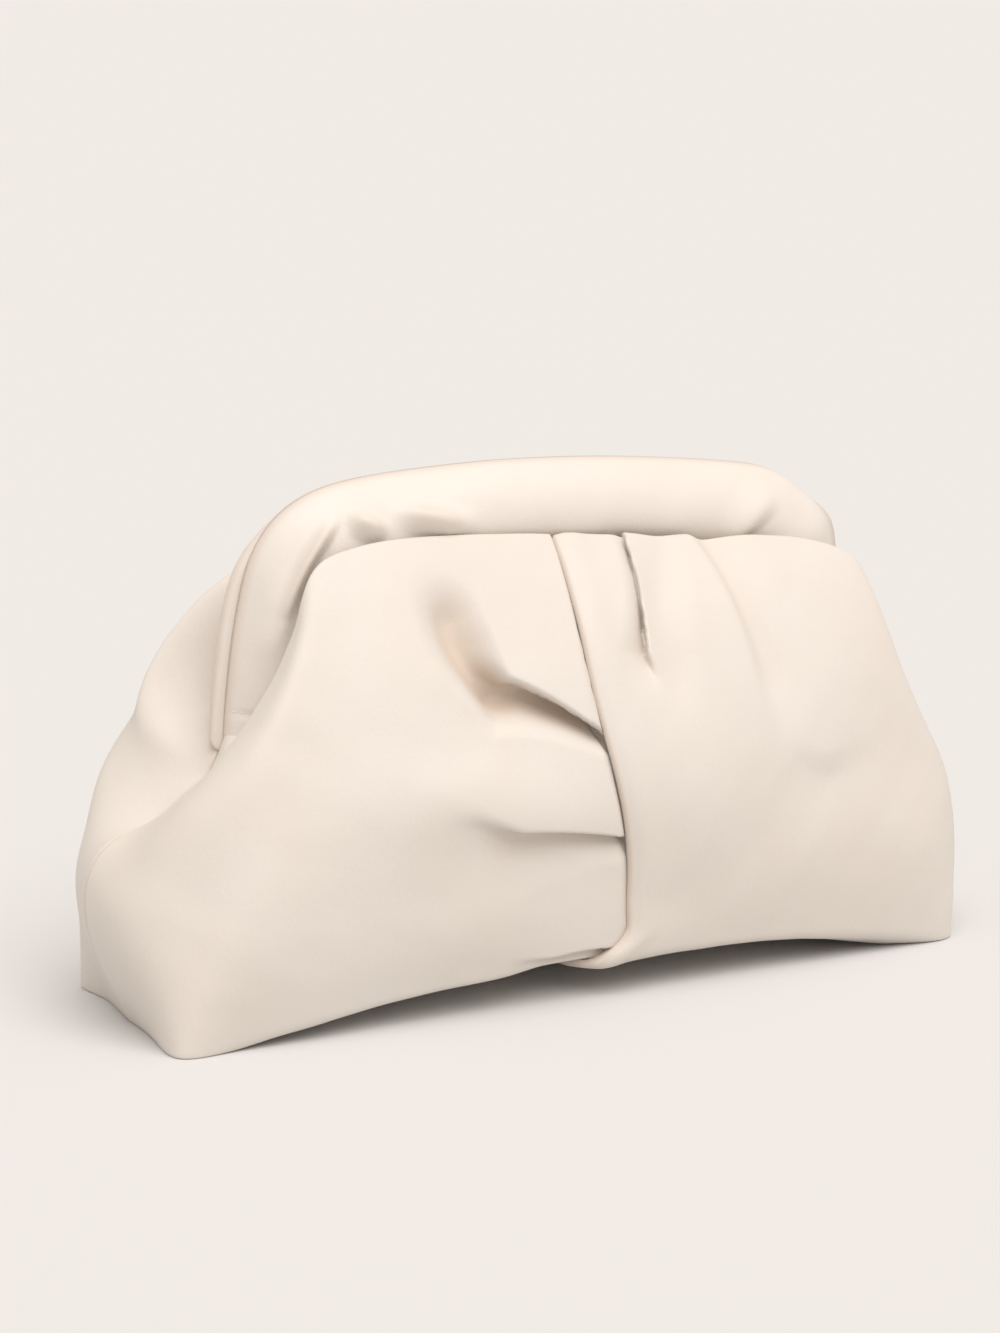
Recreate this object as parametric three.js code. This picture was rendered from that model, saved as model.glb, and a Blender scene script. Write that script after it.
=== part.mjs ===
// Soft leather frame clutch, standing closed on its base.
// Millimetres. +X is the bag's length, +Y its back, +Z up.
// The origin is the middle of the base, on the surface that it stands on.
import * as THREE from 'three';

// ---------------------------------------------------------------- driving sizes
const WALL = 1.8;          // leather with its backing
const SEAM_GAP = 0.35;     // each side of the end and keel seams
const CRISP = 2.2;         // how far from a folded edge its rounding begins
const LAP_MARGIN = 0.052;  // how far the front panel runs on under the wrap (share of the half length)
const LAP_CLEAR = 1.4;     // room between the wrap and the margin under it
const LAP_CLEAR_CREST = 0.7; // the same where both fold over the crest
const SKIVE = 0.8;         // how much thinner the margin under the wrap is pared
const LAP_DIP = 5;         // width over which the front panel dips into the lap
const WRAP_RISE = 1.4;     // how proud the wrap lies on the front
const WRAP_TIP_RISE = 3.2; // more where its lapped edge turns under the bag
const WRAP_TIP_WIDE = 22;  // how far along the wrap that tip reaches
const FOLD_WALL_MIN = 5;   // steepest step that the facets carry
const FRAME_X = 4;         // the frame's middle, beside the base's middle
const CASING_TALL = 28;    // padded roll, lip to inner edge
const CASING_THICK = 14;   // padded roll, parting face to its crown
const CASING_PART = 0.4;   // half the slit between the two rolls
const CASING_ROUND = 0.75; // below 1 the roll's section is fuller than an ellipse
const CASING_BELLY = 0.71; // below 1 the roll is fullest below its middle
const BACK_LEGS_OUT = 4; // how far the back roll's legs stand out past the front ones
const LEG_TAPER = 30;      // length over which a leg narrows to its end
const LEG_END_TALL = 0.55, LEG_END_THICK = 0.55, LEG_CAP = 4;

// Facets: stations across a panel, levels down it, and steps along and round a roll.
const FRONT_ACROSS = 25, MARGIN_ACROSS = 2, WRAP_ACROSS = 25, BACK_ACROSS = 32;
const FRONT_DOWN = [0, 0.105, 0.136, 0.15, 0.164, 0.2, 0.245, 0.295, 0.345, 0.395, 0.445, 0.495,
  0.545, 0.6, 0.655, 0.715, 0.775, 0.835, 0.89, 0.922, 0.935, 0.948, 1.03, 1.2];
const BACK_DOWN = [0, 0.07, 0.11, 0.14, 0.165, 0.2, 0.25, 0.31, 0.38, 0.46, 0.54, 0.62, 0.7, 0.78, 0.855,
  0.92, 0.95, 1.04, 1.2];
const CASING_STEP = 9, CASING_FINE = 5.4, PINCHED = [44, 124], CASING_ROUNDS = 9, CASING_FLATS = 3;

// ---------------------------------------------------------------- tables
// Named points of a section, from the rim under the frame, over the crest and down to the keel.
// A gutter is set between rim and crest, and a brow between crest and shoulder.
const LEVEL_NAMES = ['rim', 'crest', 'shoulder', 'belt', 'hip', 'edge', 'sole', 'keel'];
const LEVELS = [0, 0.105, 0.15, 0.20, 0.35, 0.57, 0.77, 0.935, 1.055, 1.2];
const CREST = 2, EDGE = 7, KEEL = 9; // levels where the leather is folded to an edge, and the last one
const LEVEL_LENGTH = 172;            // leather along one whole level
const GUTTER = { share: 0.7, dip: 2.4 }, BROW = { share: 0.25, rise: 0.9 };

// Left half of the front: a row for each section, from the end seam (at 0) to the middle (at 1).
const LEFT = [
  { at: 0.00, rim: [-101, 0, 85], crest: [-110, 0, 70], shoulder: [-126, 0, 60], belt: [-142.5, 0, 53], hip: [-148.3, 0, 31], edge: [-136.4, 0, 0], sole: [-132, 0, -0.5], keel: [-122, 0, 0] },
  { at: 0.14, rim: [-95, -3, 84], crest: [-114, -18.5, 79], shoulder: [-130, -23, 66], belt: [-140.5, -24.5, 49], hip: [-144.8, -24.2, 28], edge: [-136.6, -23, 0], sole: [-131, -18, -0.5], keel: [-120, 0, 0] },
  { at: 0.28, rim: [-75, -6, 94], crest: [-104, -24, 95.5], shoulder: [-120, -35, 75], belt: [-128.2, -38, 51], hip: [-134, -40, 26], edge: [-136.3, -41.2, 0], sole: [-128, -33, -0.5], keel: [-115, 0, 0] },
  { at: 0.42, rim: [-69.6, -6.5, 109], crest: [-91, -23, 119], shoulder: [-104, -38, 92], belt: [-112, -45, 60], hip: [-118, -48, 30], edge: [-120, -42.5, 1.3], sole: [-114, -34, 0.4], keel: [-100, 0, 0] },
  { at: 0.50, rim: [-67.2, -6.3, 116.5], crest: [-86.5, -22, 131.5], shoulder: [-94, -37, 100], belt: [-100, -46.5, 65], hip: [-105, -49.3, 32], edge: [-107, -43.5, 3.9], sole: [-102, -32.5, 2], keel: [-90, 0, 0] },
  { at: 0.60, rim: [-61, -5.7, 123.5], crest: [-74, -18.8, 138], shoulder: [-77, -37, 107], belt: [-80, -48.5, 69], hip: [-82, -49.8, 34.5], edge: [-83, -44.2, 5.9], sole: [-79, -30.5, 4], keel: [-72, 0, 0] },
  { at: 0.76, rim: [-40, -5, 128.4], crest: [-45, -17, 141], shoulder: [-46, -37.5, 110], belt: [-48, -50, 70], hip: [-49, -50.2, 36], edge: [-49, -44.7, 8.3], sole: [-47, -28.5, 6.2], keel: [-44, 0, 0] },
  { at: 1.00, rim: [0, -5, 130.8], crest: [0, -15.5, 138.8], shoulder: [0, -37.5, 110], belt: [0, -50.5, 71], hip: [0, -49.5, 38], edge: [0, -45.5, 10], sole: [0, -27, 7.4], keel: [0, 0, 0] },
];
// Where the right half of the front differs from the left half's mirror image.
const RIGHT = [
  { at: 0.00, rim: [109, 0, 85], crest: [117, 0, 70], shoulder: [130, 0, 60] },
  { at: 0.14, rim: [103, -3, 84], crest: [116, -19, 80], shoulder: [130, -25, 66] },
  { at: 0.28, rim: [83, -6, 94], crest: [112, -25, 103], shoulder: [122.5, -36, 80], belt: [130, -40, 52], hip: [133.5, -40.5, 26], edge: [134.3, -39.5, 0] },
  { at: 0.42, rim: [71, -7.5, 109], crest: [107.3, -23.7, 125.5], shoulder: [110, -38, 96], edge: [119, -43.5, 2.2] },
  { at: 0.50, rim: [70.5, -7, 117], crest: [98, -22, 131], shoulder: [99, -38, 101], edge: [106, -44.5, 4.2] },
  { at: 0.60, rim: [67, -6, 123.5], crest: [84, -20, 134], shoulder: [83, -38, 106], edge: [82, -45, 7.2], sole: [79, -30.5, 5.2] },
  { at: 0.76, rim: [48, -5, 128.4], crest: [47, -17, 136], edge: [49, -45.5, 9.5], sole: [47, -28.5, 7.2] },
];
// Where the back's left half differs from the front's left half turned round; its base lies flat.
const BACK = [
  { at: 0.14, crest: [-120, 21, 84], shoulder: [-132, 27, 66], belt: [-140, 27, 49], hip: [-142, 26, 28], edge: [-135.5, 25, 0] },
  { at: 0.28, crest: [-114.5, 28, 102.5], shoulder: [-123.5, 37, 78] },
  { at: 0.42, crest: [-99, 27, 121.5], edge: [-117, 41, 0], sole: [-114, 34, -0.5] },
  { at: 0.50, crest: [-88, 25.5, 129], belt: [-100, 46.5, 65], hip: [-105, 48.3, 32], edge: [-104, 41, 0], sole: [-102, 32.5, -0.5] },
  { at: 0.60, crest: [-73, 23.5, 135], belt: [-80, 49.8, 69], hip: [-82, 51.5, 34], edge: [-81, 41, 0], sole: [-79, 30.5, -0.5] },
  { at: 0.76, crest: [-44, 21, 137], belt: [-48, 51.2, 72], hip: [-49, 53.1, 36], edge: [-49, 41, 0], sole: [-47, 28.5, -0.5] },
  { at: 1.00, crest: [0, 20, 137], belt: [0, 51.6, 74], hip: [0, 53.8, 38], edge: [0, 41, 0], sole: [0, 27, -0.5] },
];
// How much of the frame's offset each level of the back's right half takes.
const BACK_SHIFT = [2, 1.3, 1, 0.8, 0, 0, 0, 0, 0, 0];

// The wrap's lapped edge: its x at each level.
const LAP = [
  { v: 0, x: -2 }, { v: 0.15, x: -3 }, { v: 0.25, x: -4.6 }, { v: 0.34, x: -5.4 }, { v: 0.42, x: -5.4 }, { v: 0.51, x: -3.5 }, { v: 0.6, x: -0.4 },
  { v: 0.7, x: 3 }, { v: 0.78, x: 4.6 }, { v: 0.85, x: 5.2 }, { v: 0.895, x: 3.6 }, { v: 0.93, x: -4 }, { v: 1, x: -9 }, { v: 1.2, x: -12 },
];

// Folds and dents, seen from the front as x, z. Each spine is a curve from, bend, to along the lip;
// depth, lip, wall, slope, soft and over are given at its start, middle and end. wall is the width of
// the lip's own side, slope that of the hollow's other side, soft the hollow's roundness, over how
// far the lip hangs over it. The raised layer lies left of the spine where side is 1, right where -1.
// full is 1 where the hollow is a pocket with a floor and 0 where it is a plain crease.
const FOLDS = [
  { on: 'front', from: [9, 74.2], bend: [-24, 99], to: [-47, 106], depth: [2.4, 9.5, 0], lip: [0.5, 1, 0], wall: [3, 3.6, 8], slope: [3, 14, 14], soft: [0.5, 1, 6], over: [4.2, 7, 0], crown: 13, side: -1, full: 0.85 },
  { on: 'front', from: [-45, 133], bend: [-50.5, 113], to: [-36.5, 97.5], depth: [0, 7.6, 7], lip: [0, 0, 0], wall: [10, 9.5, 8], slope: [8, 9.5, 8], soft: [3.5, 4, 3.5], over: [0, 0, 0], crown: 10, side: 1, full: 0 },
  { on: 'front', from: [14, 47.3], bend: [-25, 59.2], to: [-68, 57.5], depth: [5.5, 4.6, 0], lip: [0.5, 0.9, 0], wall: [3, 4.5, 12], slope: [6, 18, 22], soft: [0.8, 4, 8], over: [4.2, 5.6, 0], crown: 12, side: -1, full: 0 },
  { on: 'front', from: [2, 15.5], bend: [-14, 18.8], to: [-40, 10.5], depth: [3.2, 2.8, 0], lip: [0.5, 0.5, 0], wall: [2, 2.5, 5], slope: [20, 20, 16], soft: [1, 1, 3], over: [2.4, 2.5, 0], crown: 9, side: -1, full: 0 },
  { on: 'wrap', from: [21, 138], bend: [17, 117], to: [14, 86], depth: [1.2, 7.5, 0], lip: [1, 1, 0], wall: [2.4, 3, 7], slope: [4, 9, 10], soft: [0.8, 1.4, 5], over: [1.8, 3.4, 0], crown: 11, side: 1, full: 0.2 },
  { on: 'wrap', from: [50, 138], bend: [57, 108], to: [64, 64], depth: [2.6, 2.8, 0], lip: [0.6, 1, 0], wall: [5, 6, 10], slope: [14, 18, 18], soft: [2.5, 3, 5], over: [0, 0, 0], crown: 12, side: -1, full: 0 },
  { on: 'wrap', from: [34, 132], bend: [23.5, 108], to: [20, 72], depth: [1.8, 2.2, 0], lip: [0, 0, 0], wall: [7, 8, 11], slope: [8, 9, 12], soft: [4, 4, 5], over: [0, 0, 0], crown: 10, side: 1, full: 0 },
  { on: 'casing', from: [-90, 114], bend: [-85.6, 131.5], to: [-76.4, 141.6], depth: [3, 5.5, 3.8], lip: [0, 0, 0], wall: [3, 3.2, 3], slope: [4.5, 5, 4.5], soft: [0.8, 0.8, 0.8], over: [0, 0, 0], crown: 7, side: -1, full: 0 },
  { on: 'casing', from: [-72, 145.2], bend: [-64.5, 144], to: [-56, 139.6], depth: [0, 4.4, 0], lip: [0, 0, 0], wall: [3.4, 3.8, 3.4], slope: [3.6, 4.2, 3.6], soft: [2, 2, 2], over: [0, 0, 0], crown: 6, side: 1, full: 0 },
  { on: 'casing', from: [-58.5, 147.3], bend: [-46, 144.6], to: [-22, 141], depth: [0, 4.8, 0], lip: [0, 0, 0], wall: [3.6, 4.4, 5], slope: [4, 5, 5], soft: [2.2, 2.5, 3], over: [0, 0, 0], crown: 6, side: 1, full: 0 },
];
// Broad swells: middle, reach along and across, slope of the long way in degrees, height.
const SWELLS = [
  { on: 'front', middle: [-38, 66], reach: [36, 13], slope: -4, height: 4.2 },
  { on: 'front', middle: [-45, 26], reach: [40, 13], slope: 2, height: 1.5 },
  { on: 'wrap', middle: [30, 62], reach: [20, 30], slope: 0, height: 2.2 },
];
// Outer lip of one half of a casing, from the end of a leg to the middle of the top:
// reach from the frame's middle, height, and how much fuller the right half's shoulder is.
const CASING = [
  { reach: 109, height: 85.5, fuller: 0 }, { reach: 107.9, height: 97, fuller: 1 },
  { reach: 106.3, height: 109, fuller: 4 }, { reach: 104, height: 121, fuller: 9 },
  { reach: 100.5, height: 133, fuller: 10 }, { reach: 94, height: 143.5, fuller: 4.5 },
  { reach: 83, height: 151.5, fuller: 2.5 }, { reach: 66, height: 156.2, fuller: 1.2 },
  { reach: 44, height: 158.6, fuller: 0.3 }, { reach: 22, height: 160, fuller: 0 },
  { reach: 0, height: 160.4, fuller: 0 },
];

// ---------------------------------------------------------------- small helpers
const clamp = (x, lo, hi) => Math.min(hi, Math.max(lo, x));
const smooth = (x) => { const t = clamp(x, 0, 1); return t * t * (3 - 2 * t); };
const range = (n) => Array.from({ length: n }, (_, i) => i);
const threePoint = ([a, b, c], t) => a * (2 * t - 1) * (t - 1) + b * 4 * t * (1 - t) + c * t * (2 * t - 1);

// Natural cubic spline: the second derivatives at the knots for each knot's unit value.
function curvatures(knots) {
  const n = knots.length;
  return range(n).map((k) => {
    const y = knots.map((_, i) => (i === k ? 1 : 0));
    const m = new Array(n).fill(0), p = new Array(n).fill(0);
    for (let i = 1; i < n - 1; i++) {
      const h0 = knots[i] - knots[i - 1], h1 = knots[i + 1] - knots[i];
      const d = 2 * (h0 + h1) - h0 * p[i - 1];
      p[i] = h1 / d;
      m[i] = (6 * ((y[i + 1] - y[i]) / h1 - (y[i] - y[i - 1]) / h0) - h0 * m[i - 1]) / d;
    }
    for (let i = n - 2; i > 0; i--) m[i] -= p[i] * m[i + 1];
    m[0] = m[n - 1] = 0;
    return m;
  });
}
function makeSpline(knots) {
  const curve = curvatures(knots), n = knots.length;
  return (x) => {
    let i = 0;
    while (i < n - 2 && x > knots[i + 1]) i++;
    const h = knots[i + 1] - knots[i], a = (knots[i + 1] - x) / h, b = (x - knots[i]) / h;
    const ca = (a ** 3 - a) * h * h / 6, cb = (b ** 3 - b) * h * h / 6;
    return range(n).map((k) => (k === i ? a : 0) + (k === i + 1 ? b : 0) + ca * curve[k][i] + cb * curve[k][i + 1]);
  };
}
const weigh = (w, values) => w.reduce((sum, x, i) => sum + x * values[i], 0);

// ---------------------------------------------------------------- the two lofted halves
const HALF_STEPS = LEFT.map((r) => r.at);
const ACROSS = [...HALF_STEPS.map((s) => s - 1), ...HALF_STEPS.slice(0, -1).reverse().map((s) => 1 - s)];
const acrossSpline = makeSpline(ACROSS);
const changed = (table, row, level) => (table.find((r) => r.at === row.at) || {})[level];

// A half's sections, with the gutter and the brow filled in; side is 1 on the front and -1 on the back.
function sections(point, side) {
  return LEFT.map((r) => {
    const row = LEVEL_NAMES.map((l) => new THREE.Vector3(...point(r, l))), [rim, crest, shoulder] = row;
    const gutter = rim.clone().lerp(crest, GUTTER.share);
    gutter.z -= GUTTER.dip;
    const fall = shoulder.clone().sub(crest), away = new THREE.Vector3(0, -side, 0);
    away.addScaledVector(fall, -away.dot(fall) / fall.lengthSq()).normalize();
    const brow = crest.clone().addScaledVector(fall, BROW.share).addScaledVector(away, BROW.rise);
    return [rim, gutter, crest, brow, ...row.slice(2)];
  });
}
const joined = (left, right) => [...left, ...right.slice(0, -1).reverse()];
const frontLeft = sections((r, l) => r[l], 1);
const frontRight = sections((r, l) => changed(RIGHT, r, l) || [-r[l][0], r[l][1], r[l][2]], 1);
const backLeft = sections((r, l) => changed(BACK, r, l) || [r[l][0], -r[l][1], r[l][2]], -1);
const backRight = backLeft.map((row) => row.map((p, k) => new THREE.Vector3(-p.x + BACK_SHIFT[k] * FRAME_X, p.y, p.z)));
const FRONT_NET = joined(frontLeft, frontRight), BACK_NET = joined(backLeft, backRight);

// Levels between one folded edge and the next, each stretch with a spline of its own.
function stretches(...breaks) {
  const ends = [0, ...breaks, KEEL];
  return ends.slice(1).map((to, i) => ({ from: ends[i], to, spline: makeSpline(LEVELS.slice(ends[i], to + 1)) }));
}
const SOFT_CREST = stretches(EDGE), CRISP_CREST = stretches(CREST, EDGE);
// Weights of the levels, evened out a little so that folded edges are rounded.
function levelWeights(v, parts) {
  const out = LEVELS.map(() => 0), half = 3, count = 2 * half + 1;
  for (let k = -half; k <= half; k++) {
    const x = clamp(v + (k / half) * CRISP / LEVEL_LENGTH, 0, LEVELS[KEEL]);
    const part = parts.find((s) => x < LEVELS[s.to]) || parts[parts.length - 1];
    part.spline(x).forEach((w, i) => { out[part.from + i] += w / count; });
  }
  return out;
}
function onNet(net, u, v) {
  const wu = acrossSpline(u), p = new THREE.Vector3();
  let wv = levelWeights(v, SOFT_CREST);
  if (net === FRONT_NET) {
    const k = smooth((0.98 - Math.abs(u)) / 0.2), crisp = levelWeights(v, CRISP_CREST);
    wv = wv.map((w, i) => (1 - k) * w + k * crisp[i]);
  }
  net.forEach((row, i) => row.forEach((q, j) => p.addScaledVector(q, wu[i] * wv[j])));
  return p;
}
// Outward normal; side is 1 on the front and -1 on the back.
function outward(net, u, v, side) {
  const e = 1e-3, top = LEVELS[KEEL];
  const du = onNet(net, Math.min(1, u + e), v).sub(onNet(net, Math.max(-1, u - e), v));
  const dv = onNet(net, u, Math.min(top, v + e)).sub(onNet(net, u, Math.max(0, v - e)));
  return new THREE.Vector3().crossVectors(dv, du).multiplyScalar(side).normalize();
}

// ---------------------------------------------------------------- lap and folds
const lapSpline = makeSpline(LAP.map((r) => r.v));
const lapX = (v) => weigh(lapSpline(v), LAP.map((r) => r.x));
function lapU(v) {
  const x = lapX(v);
  let lo = -0.35, hi = 0.35;
  for (let i = 0; i < 40; i++) { const m = (lo + hi) / 2; if (onNet(FRONT_NET, m, v).x < x) lo = m; else hi = m; }
  return (lo + hi) / 2;
}
const wrapRise = (u, v, past) =>
  (WRAP_RISE + WRAP_TIP_RISE * smooth((v - 0.8) / 0.13) * Math.exp(-((past / WRAP_TIP_WIDE) ** 2)))
  * smooth((1 - u) / 0.35) * smooth((v - 0.06) / 0.2) * smooth((1.12 - v) / 0.12);

const SPINE_PARTS = 40;
for (const f of FOLDS) {
  f.spine = new THREE.QuadraticBezierCurve(
    new THREE.Vector2(...f.from), new THREE.Vector2(...f.bend), new THREE.Vector2(...f.to)).getPoints(SPINE_PARTS);
}
function foldHeight(panel, x, z) {
  let height = 0;
  for (const s of SWELLS.filter((r) => r.on === panel)) {
    const a = THREE.MathUtils.degToRad(s.slope), px = x - s.middle[0], pz = z - s.middle[1];
    const along = (px * Math.cos(a) + pz * Math.sin(a)) / s.reach[0], across = (pz * Math.cos(a) - px * Math.sin(a)) / s.reach[1];
    height += s.height * Math.exp(-along * along - across * across);
  }
  for (const f of FOLDS.filter((r) => r.on === panel)) {
    let best = Infinity, t = 0, q = 0, past = 0;
    for (let i = 0; i < SPINE_PARTS; i++) {
      const a = f.spine[i], g = f.spine[i + 1].clone().sub(a), len = g.length();
      g.divideScalar(len);
      const wx = x - a.x, wz = z - a.y, along = wx * g.x + wz * g.y, k = clamp(along, 0, len);
      const dist = Math.hypot(wx - k * g.x, wz - k * g.y);
      if (dist < best) { best = dist; t = (i + k / len) / SPINE_PARTS; q = f.side * (g.x * wz - g.y * wx); past = Math.abs(along - k); }
    }
    const ends = (f.depth[0] > 0 ? 1 : smooth(t / 0.4)) * (f.depth[2] > 0 ? 1 : smooth((1 - t) / 0.4));
    const depth = Math.max(threePoint(f.depth, t), 0) * ends, lip = Math.max(threePoint(f.lip, t), 0) * ends;
    const wall = Math.max(threePoint(f.wall, t), FOLD_WALL_MIN), slope = Math.max(threePoint(f.slope, t), FOLD_WALL_MIN);
    const soft = Math.max(threePoint(f.soft, t), 0.3);
    q += Math.min(Math.max(threePoint(f.over, t), 0), wall);
    const far = (Math.hypot(q, soft) - soft) / slope;
    const valley = q < 0 ? (1 - f.full) * clamp(1 - far, 0, 1) ** 2 + f.full * (1 - smooth(far)) : 1 - smooth(q / (1.25 * wall));
    const ridge = q < 0 ? 0 : smooth(q / (1.25 * wall)) * Math.exp(-((Math.max(q - wall, 0) / f.crown) ** 2));
    height += Math.exp(-((past / 6) ** 2)) * (lip * ridge - depth * valley);
  }
  return height;
}
const foldReach = (v) => smooth((1 - v) / 0.07) * smooth((v - 0.09) / 0.1);

// ---------------------------------------------------------------- closed shells
// A wall between an outer and an inner net of points, closed along its four borders.
function shell(outer, inner, flip) {
  const nu = outer.length, nv = outer[0].length, pos = [], tri = [];
  for (const net of [outer, inner]) for (const row of net) for (const p of row) pos.push(p.x, p.y, p.z);
  const o = (i, j) => i * nv + j, n = (i, j) => nu * nv + i * nv + j;
  const quad = (a, b, c, d) => (flip ? tri.push(a, c, b, a, d, c) : tri.push(a, b, c, a, c, d));
  for (let i = 0; i < nu - 1; i++) for (let j = 0; j < nv - 1; j++) {
    quad(o(i, j), o(i, j + 1), o(i + 1, j + 1), o(i + 1, j));
    quad(n(i, j), n(i + 1, j), n(i + 1, j + 1), n(i, j + 1));
  }
  for (let i = 0; i < nu - 1; i++) {
    quad(o(i, 0), o(i + 1, 0), n(i + 1, 0), n(i, 0));
    quad(o(i + 1, nv - 1), o(i, nv - 1), n(i, nv - 1), n(i + 1, nv - 1));
  }
  for (let j = 0; j < nv - 1; j++) {
    quad(o(0, j + 1), o(0, j), n(0, j), n(0, j + 1));
    quad(o(nu - 1, j), o(nu - 1, j + 1), n(nu - 1, j + 1), n(nu - 1, j));
  }
  const g = new THREE.BufferGeometry();
  g.setAttribute('position', new THREE.Float32BufferAttribute(pos, 3));
  g.setIndex(tri);
  g.computeVertexNormals();
  return g;
}

// One panel: stations gives its sections at a level, height its rise off the loft, thick its wall.
function panel(net, side, levels, stations, height, thick = () => WALL) {
  const keepSide = (p) => { p.y = side > 0 ? Math.min(p.y, -SEAM_GAP) : Math.max(p.y, SEAM_GAP); return p; };
  const columns = levels.map((v) => stations(v).map((u) => {
    const p = onNet(net, u, v), n = outward(net, u, v, side), wall = thick(v, p);
    p.addScaledVector(n, height(u, v, p));
    p.z = Math.max(p.z, 0);
    keepSide(p);
    const q = keepSide(p.clone().addScaledVector(n, -wall));
    q.z = Math.max(q.z, v > LEVELS[EDGE] ? WALL : 0.4);
    return [p, q];
  }));
  const across = range(columns[0].length), layer = (k) => across.map((i) => columns.map((c) => c[i][k]));
  return shell(layer(0), layer(1), side < 0);
}

const lapTable = new Map();
const lapAt = (v) => { if (!lapTable.has(v)) lapTable.set(v, lapU(v)); return lapTable.get(v); };
const frontStations = (v) => [
  ...range(FRONT_ACROSS).map((i) => { const t = i / (FRONT_ACROSS - 1); return -1 + (lapAt(v) + 1) * t * (1.18 - 0.18 * t); }),
  ...range(MARGIN_ACROSS).map((i) => lapAt(v) + LAP_MARGIN * (i + 1) / MARGIN_ACROSS),
];
const wrapStations = (v) => range(WRAP_ACROSS).map((i) => { const t = i / (WRAP_ACROSS - 1); return lapAt(v) + (1 - lapAt(v)) * t * (0.86 + 0.14 * t); });
const lapClear = (v) => LAP_CLEAR + (LAP_CLEAR_CREST - LAP_CLEAR) * Math.exp(-(((v - LEVELS[CREST]) / 0.05) ** 2));
const lapDip = (v, p) => clamp(1 + (p.x - lapX(v)) / LAP_DIP, 0, 1) ** 2;
const frontPanel = panel(FRONT_NET, 1, FRONT_DOWN, frontStations, (u, v, p) => {
  const past = p.x - lapX(v), fold = foldHeight('front', p.x, p.z) * foldReach(v);
  const under = Math.min(0, wrapRise(lapAt(v), v, 0) * (1 - smooth((v - 0.94) / 0.06)) - WALL - lapClear(v));
  const flat = fold > 0 ? 1 - smooth((past + 12) / 12) : 1 - 0.6 * smooth(past / 3);
  return fold * flat + under * lapDip(v, p);
}, (v, p) => WALL - SKIVE * lapDip(v, p));
const wrapPanel = panel(FRONT_NET, 1, FRONT_DOWN, wrapStations, (u, v, p) => {
  const past = p.x - lapX(v), fold = foldHeight('wrap', p.x, p.z) * foldReach(v);
  return fold * smooth(past / 10) + wrapRise(u, v, past);
});
const backPanel = panel(BACK_NET, -1, BACK_DOWN, () => range(BACK_ACROSS).map((i) => -1 + 2 * i / (BACK_ACROSS - 1)), () => 0);

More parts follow.
